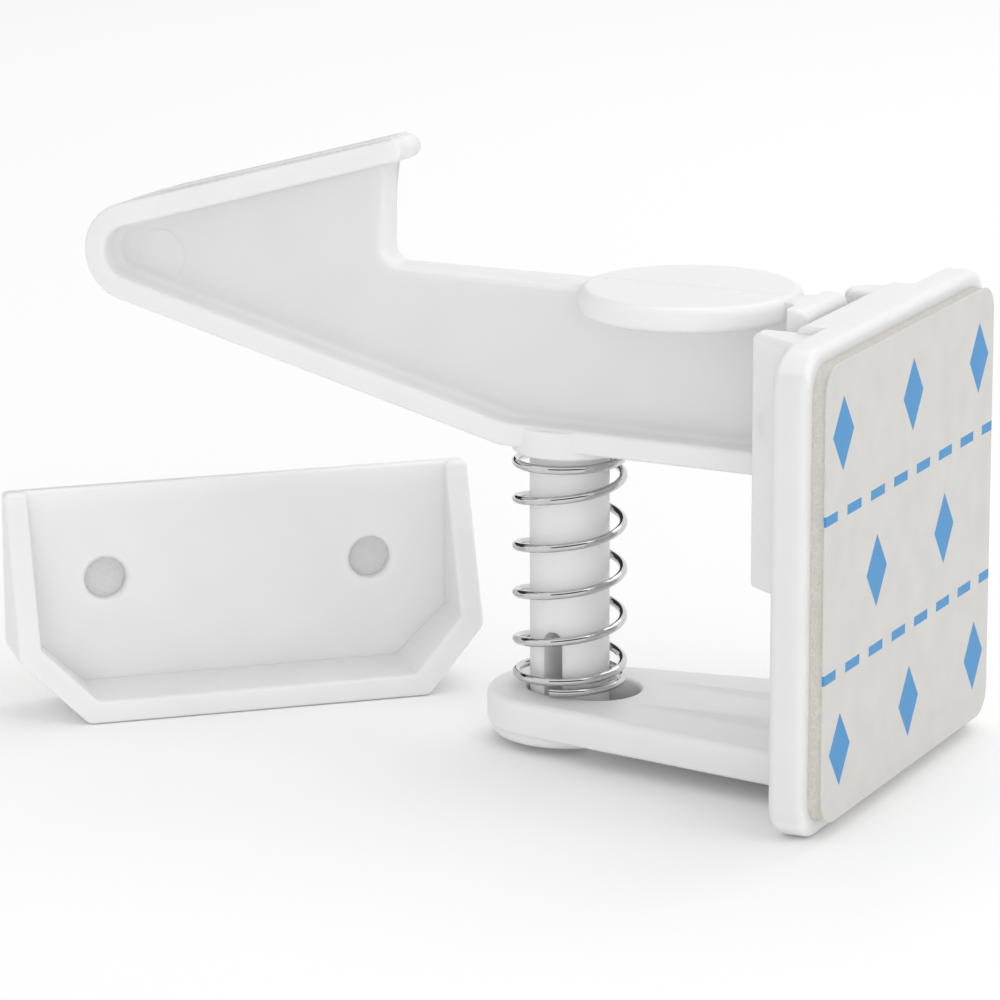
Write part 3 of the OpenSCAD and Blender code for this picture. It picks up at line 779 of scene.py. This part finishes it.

# %% [markdown]
# The foam of the base is a warm pale grey, and that of the strike a cooler one. Cells that were cut open are
# small pits. A Voronoi pattern gives their bump and also darkens the middle of each cell, which is painted shade of
# the pits, and a noise adds random patches of tone to that darkening.

# %% Foam material
def cell_foam(name, shaded_pit, skin):
    made, tree, shader, place = new_material(name, Roughness=0.9)
    cells = node(tree, "ShaderNodeTexVoronoi", Scale=4200.0)
    patches = node(tree, "ShaderNodeTexNoise", Scale=900.0, Detail=2.0)
    for texture in (cells, patches):
        tree.links.new(place, texture.inputs["Vector"])
    # Painted shade: the colour is darkest in the middle of each cell, where its pit is, and in random patches of
    # tone.
    cell_shade = node(tree, "ShaderNodeMath", operation="MULTIPLY")
    tree.links.new(cells.outputs["Distance"], cell_shade.inputs[0])
    tree.links.new(patches.outputs["Fac"], cell_shade.inputs[1])
    tree.links.new(blend_colours(tree, cell_shade.outputs[0], shaded_pit, skin), shader.inputs["Base Color"])
    bump(tree, shader, cells.outputs["Distance"], 0.6, 0.0001)
    return made


# The darker colour of each foam serves as the painted shade of its pits and for random patches, and the lighter one
# is its own colour.
warm_foam = cell_foam("warm_foam", (0.56, 0.54, 0.50), (0.71, 0.69, 0.64))
cool_foam = cell_foam("cool_foam", (0.64, 0.64, 0.64), (0.70, 0.70, 0.70))
pad = finish_piece("base_foam_tape", pad_skin, "base_body", "base_foam_pad", warm_foam)

# %% [markdown]
# The release liner is coated paper, as wide as the foam and thin as a card. It is one block with a hair of
# rounding, so that its cut edge catches a line of light.

# %% Cut the liner
liner_low, liner_high = box_mm("base_release_liner")
liner_skin = block(pad_outline, back_view(liner_low.x), (liner_high.x - liner_low.x, 0, 0), high_r=0.06)
print("liner is", round(liner_high.x - liner_low.x, 2), "mm thick")

# %% [markdown]
# Liners often carry a printed pattern, so that nobody leaves them on. This one is a plain pattern of blue
# lozenges in staggered rows with broken lines between. It is worked out from the place on the sheet: rows and columns
# come from a fraction, and a lozenge is where the distances to the middle of its cell, added up, stay small.

# %% Node group for the lozenge print
lozenges, c_in, c_out = new_group(
    "lozenge_print",
    [("Place", "NodeSocketVector", None), ("Cell Width", "NodeSocketFloat", 0.0156),
     ("Cell Height", "NodeSocketFloat", 0.0136)],
    [("Ink", "NodeSocketFloat")])


def math_node(tree, operation, a, b=None, c=None):
    made = node(tree, "ShaderNodeMath", operation=operation)
    for socket, value in zip(made.inputs, (a, b, c)):
        if isinstance(value, (int, float)):
            socket.default_value = value
        elif value is not None:
            tree.links.new(value, socket)
    return made.outputs[0]


def from_middle(tree, value):
    return math_node(tree, "ABSOLUTE", math_node(tree, "SUBTRACT", math_node(tree, "FRACT", value), 0.5))


axes = node(lozenges, "ShaderNodeSeparateXYZ")
lozenges.links.new(c_in.outputs["Place"], axes.inputs[0])
height = math_node(lozenges, "DIVIDE", axes.outputs["Z"], c_in.outputs["Cell Height"])
row = math_node(lozenges, "ADD", height, 0.5)
column = math_node(lozenges, "DIVIDE", axes.outputs["Y"], c_in.outputs["Cell Width"])
staggered = math_node(lozenges, "MULTIPLY_ADD", math_node(lozenges, "FLOOR", row), 0.5, column)
reach = math_node(lozenges, "MULTIPLY_ADD", from_middle(lozenges, staggered), 1.6, from_middle(lozenges, row))
lozenge = math_node(lozenges, "LESS_THAN", reach, 0.235)
line = math_node(lozenges, "GREATER_THAN", from_middle(lozenges, row), 0.468)
dashes = math_node(lozenges, "MULTIPLY", column, 3.0)
broken = math_node(lozenges, "LESS_THAN", from_middle(lozenges, dashes), 0.3)
dash = math_node(lozenges, "MULTIPLY", line, broken)
lozenges.links.new(math_node(lozenges, "MAXIMUM", lozenge, dash), c_out.inputs["Ink"])
print("print group has", len(lozenges.nodes), "nodes")

# %% Release paper
def release_paper(name, printed):
    made, tree, shader, place = new_material(name, Specular_IOR_Level=0.4)
    fibre = node(tree, "ShaderNodeGroup", node_tree=grain)
    fibre.inputs["Grain Size"].default_value, fibre.inputs["Sink Size"].default_value = 2600.0, 320.0
    tree.links.new(place, fibre.inputs["Place"])
    paper = blend_colours(tree, fibre.outputs["Mottle"], (0.60, 0.585, 0.555), (0.69, 0.675, 0.645))
    if printed:
        ink = node(tree, "ShaderNodeGroup", node_tree=lozenges)
        tree.links.new(place, ink.inputs["Place"])
        mix = node(tree, "ShaderNodeMix", data_type="RGBA")
        tree.links.new(ink.outputs["Ink"], mix.inputs[MIX_FAC])
        tree.links.new(paper, mix.inputs[MIX_A])
        mix.inputs[MIX_B].default_value = (0.04, 0.27, 0.58, 1)
        paper = mix.outputs[MIX_OUT]
    tree.links.new(paper, shader.inputs["Base Color"])
    tree.links.new(spread(tree, fibre.outputs["Gloss"], 0.42, 0.6), shader.inputs["Roughness"])
    bump(tree, shader, fibre.outputs["Height"], 0.2, 0.0001)
    return made


printed_paper, plain_paper = release_paper("printed_paper", True), release_paper("plain_paper", False)
finish_piece("printed_liner", liner_skin, "base_body", "base_release_liner", printed_paper)

# %% [markdown]
# The strike is an open tray that the hook drops behind. It is drawn standing square at the origin and turned to its
# place at the end, because its walls are easy to draw straight and hard to draw slanted. The walls are one outline
# in the shape of a U, cut off by a sloping plane, and the back is a second block with two screw holes.

# %% Outline of the strike
strike_w, strike_h, strike_top_d, strike_low_d = 43.6, 20.1, 1.6, 9.3
strike_back_t, strike_wall_t, strike_shelf_t, cut_w, cut_h = 1.2, 2.1, 1.9, 5.85, 5.65
half_w = strike_w / 2
strike_points = [Vector(p) for p in (
    (cut_w - half_w, 0), (half_w - cut_w, 0), (half_w, cut_h), (half_w, strike_h), (-half_w, strike_h),
    (-half_w, cut_h))]
room = step_in(strike_points, [strike_shelf_t, strike_wall_t, strike_wall_t, 0, strike_wall_t, strike_wall_t])
outside = [(*p, r) for p, r in zip(strike_points, (1, 1, 1, 1.8, 1.8, 1))]
room_corners = [(*p, r) for p, r in zip(room, (0.6, 0.6, 0.6, 0.45, 0.45, 0.6))]
u_corners = outside[:3] + [(half_w, strike_h, 0.5)] + room_corners[3:4] + room_corners[2:0:-1] + room_corners[:1] \
    + room_corners[:4:-1] + room_corners[4:5] + [(-half_w, strike_h, 0.5)] + outside[5:]
print("strike outline has", len(u_corners), "corners")

# %% Walls and back of the strike
screw_r, screw_x, screw_z = 1.95, 12.5, 11.35
walls = bmesh.new()
pull_out(walls, walls.faces.new(draw_loop(walls, u_corners, side_view(-0.3))), (0, -12, 0), 0, 0)
lean = Vector((0, strike_h, strike_top_d - strike_low_d)).normalized()
sliced = bmesh.ops.bisect_plane(walls, geom=list(walls.verts) + list(walls.edges) + list(walls.faces),
                                plane_co=(0, -strike_top_d, strike_h), plane_no=-lean, clear_outer=True)["geom_cut"]
cut_edges = [g for g in sliced if isinstance(g, bmesh.types.BMEdge)]
front = bmesh.ops.contextual_create(walls, geom=cut_edges)["faces"][0]
bmesh.ops.recalc_face_normals(walls, faces=walls.faces)
round_edges(walls, front.edges, 0.4, 3)
back_plate = block(outside, side_view(0), (0, -strike_back_t, 0), 0.2, 0.35)
screws = [round_block(screw_r, (side * screw_x, 1, screw_z), (0, -4, 0)) for side in (-1, 1)]
strike_skin = join_blocks([back_plate, walls], screws)


def on_hole_rim(p):
    from_hole = math.hypot(abs(p.x) - screw_x, p.z - screw_z)
    return abs(p.y + strike_back_t) < 0.002 and abs(from_hole - screw_r) < 0.01


hole_rims = [e for e in strike_skin.edges if all(on_hole_rim(v.co) for v in e.verts)]
round_edges(strike_skin, hole_rims, 0.5)
print("strike", len(strike_skin.faces), "faces, with", len(hole_rims), "edges rounded at the screw holes")

# %% Place the strike
face_mount = next(m for m in frame["record"]["mounts"] if m["name"] == "strike_face")
strike_foam_t, strike_liner_t = 1.0, 0.2
rear = Vector(face_mount["axis"])
strike_mid = Vector(face_mount["pos_m"]) / MM - rear * (strike_foam_t + strike_liner_t)
strike_turn = Matrix.Rotation(math.atan2(-rear.x, rear.y), 4, "Z")
strike_place = Matrix.Translation((strike_mid.x, strike_mid.y, table_z)) @ strike_turn
bmesh.ops.transform(strike_skin, matrix=strike_place, verts=strike_skin.verts)
finish_piece("strike_tray", strike_skin, "strike_body", "strike", strike_plastic)

# %% [markdown]
# The strike has the same tape and liner on its back. They follow its outline, a little inside the edge.

# %% Tape and liner of the strike
strike_pad_gap = 1.2
strike_pad = [(*p, 1) for p in step_in(strike_points, [strike_pad_gap] * 6)]
strike_pad_skin = foam_slab(strike_pad, side_view(0), (0, strike_foam_t, 0), pinch)
strike_liner_skin = block(strike_pad, side_view(strike_foam_t), (0, strike_liner_t, 0), high_r=0.06)
for skin in (strike_pad_skin, strike_liner_skin):
    bmesh.ops.transform(skin, matrix=strike_place, verts=skin.verts)
strike_tape = finish_piece("strike_foam_tape", strike_pad_skin, "strike_body", "strike_foam_pad", cool_foam)
finish_piece("strike_liner", strike_liner_skin, "strike_body", "strike_release_liner", plain_paper)

# %% [markdown]
# A product photo like this is taken on a white sweep. The floor here is a real white floor that takes a shadow, and
# only the camera and mirror rays also see a little light of its own, so that it turns pure white away from the
# object while nothing more shines on the object.

# %% Floor
def white_for_eyes(tree):
    """1 for rays from the camera and from mirroring or clear surfaces, 0 for the light that reaches the object."""
    rays = node(tree, "ShaderNodeLightPath")
    seen = math_node(tree, "MAXIMUM", rays.outputs["Is Camera Ray"], rays.outputs["Is Glossy Ray"])
    return math_node(tree, "MAXIMUM", seen, rays.outputs["Is Transmission Ray"])


floor_mat, tree, shader, place = new_material("white_floor", Base_Color=(0.96, 0.96, 0.96, 1), Roughness=0.9,
                                              Specular_IOR_Level=0.0, Emission_Color=(1, 1, 1, 1))
floor_glow = 0.03
tree.links.new(math_node(tree, "MULTIPLY", white_for_eyes(tree), floor_glow), shader.inputs["Emission Strength"])
floor_bm = bmesh.new()
bmesh.ops.create_grid(floor_bm, x_segments=1, y_segments=1, size=3)
bmesh.ops.translate(floor_bm, verts=floor_bm.verts, vec=(0, 0, cad_low.z - 0.00005))
floor_mesh = bpy.data.meshes.new("floor")
floor_bm.to_mesh(floor_mesh)
floor_bm.free()
floor_mesh.materials.append(floor_mat)
floor = bpy.data.objects.new("floor", floor_mesh)
bpy.context.scene.collection.objects.link(floor)
print("floor at", round(cad_low.z / MM, 2), "mm")

# %% [markdown]
# The light is a pale room with soft boxes behind, at the right and low in front, near the camera. The front one
# keeps the near walls almost as bright as the tops, as in the picture, and hardly lights the floor, which would
# lose its shadows. Their strengths come from a fit to the tones of the picture, with one render for each lamp, and
# were then rounded.

# %% Room light and soft boxes
world = bpy.data.worlds.new("white_room")
world.use_nodes = True
bpy.context.scene.world = world
tree = world.node_tree
background = tree.nodes["Background"]
background.inputs["Color"].default_value = (1, 1, 1, 1)
room_light = 0.7
tree.links.new(math_node(tree, "MULTIPLY_ADD", white_for_eyes(tree), 1 - room_light, room_light),
               background.inputs["Strength"])
middle = (cad_low + cad_high) / 2


def toward(azimuth, height):
    """Direction in degrees: azimuth 0 is in front of the near side and 90 behind the plate, height 90 is up."""
    a, h = math.radians(azimuth), math.radians(height)
    return Vector((math.sin(a) * math.cos(h), -math.cos(a) * math.cos(h), math.sin(h)))


def facing(way, distance):
    """Place and turn of something that looks at the middle of the part from one direction."""
    return Matrix.Translation(middle + way * distance) @ (-way).to_track_quat("-Z", "Y").to_matrix().to_4x4()


def soft_box(name, way, distance, width, height, power):
    lamp = bpy.data.lights.new(name, "AREA")
    lamp.shape, lamp.size, lamp.size_y, lamp.energy = "RECTANGLE", width, height, power
    made = bpy.data.objects.new(name, lamp)
    made.matrix_world = facing(way, distance)
    bpy.context.scene.collection.objects.link(made)
    return made


soft_box("rear_box", toward(180, 60), 0.75, 0.6, 0.6, 1.4)
soft_box("right_box", toward(80, 50), 0.80, 0.5, 0.5, 1.0)
front_box = soft_box("front_box", toward(25, 9), 0.80, 0.7, 0.16, 1.4)
front_box.visible_glossy = False
bpy.context.scene.view_settings.view_transform = "Standard"

# %% [markdown]
# The camera stands where the photographer did. Its place comes from a fit of the plate, arm, disc and tongue to the
# picture. A long lens from that distance keeps the sides nearly parallel.

# %% Camera
yaw, pitch, distance = math.radians(25.362), math.radians(13.817), 0.432813
focal, centre_px, picture_px, aim = 4900.671, (576.899, 456.586), 1000, Vector((-0.0317, 0, 0.0048))
away = Vector((math.sin(yaw) * math.cos(pitch), -math.cos(yaw) * math.cos(pitch), math.sin(pitch)))
right = Vector((math.cos(yaw), math.sin(yaw), 0))
up = away.cross(right)
off_u, off_v = (picture_px / 2 - c for c in centre_px)
ahead = -away + right * off_u / focal - up * off_v / focal
z_axis = -ahead.normalized()
x_axis = up.cross(z_axis).normalized()
turn = Matrix((x_axis, z_axis.cross(x_axis), z_axis)).transposed().to_4x4()
lens = bpy.data.cameras.new("camera")
lens.sensor_width, lens.lens = 36, 36 * focal / picture_px
camera = bpy.data.objects.new("camera", lens)
camera.matrix_world = Matrix.Translation(aim + away * distance) @ turn
bpy.context.scene.collection.objects.link(camera)
bpy.context.scene.camera = camera
print("camera lens", round(lens.lens, 1), "mm")

# %% [markdown]
# Bright wire needs something dark to mirror, or it turns to milk. In the picture every turn shows a short black line
# under a white one, near the middle of the wire, and a dark edge where the wire turns back on the right. So one dark
# card hangs above the camera and one at the left, where those spots mirror them, and only mirror rays can see them.

# %% Dark cards
card_mat, *_ = new_material("dark_card", Base_Color=(0.03, 0.03, 0.03, 1), Roughness=1.0)


def dark_card(name, way, distance, width, height):
    bm = bmesh.new()
    bmesh.ops.create_grid(bm, x_segments=1, y_segments=1, size=0.5)
    bmesh.ops.scale(bm, verts=bm.verts, vec=(width, height, 1.0))
    bmesh.ops.transform(bm, verts=bm.verts, matrix=facing(way, distance))
    mesh = bpy.data.meshes.new(name)
    bm.to_mesh(mesh)
    bm.free()
    mesh.materials.append(card_mat)
    card = bpy.data.objects.new(name, mesh)
    bpy.context.scene.collection.objects.link(card)
    card.visible_camera = card.visible_diffuse = card.visible_shadow = card.visible_transmission = False


dark_card("upper_card", toward(25, 32), 0.5, 0.84, 0.29)
dark_card("left_card", toward(-118, 28), 0.5, 0.6, 0.42)

# %% [markdown]
# The visual model is meant to stay the size of the CAD model, whose box is printed at the start.

# %% Finish
bpy.context.view_layer.update()
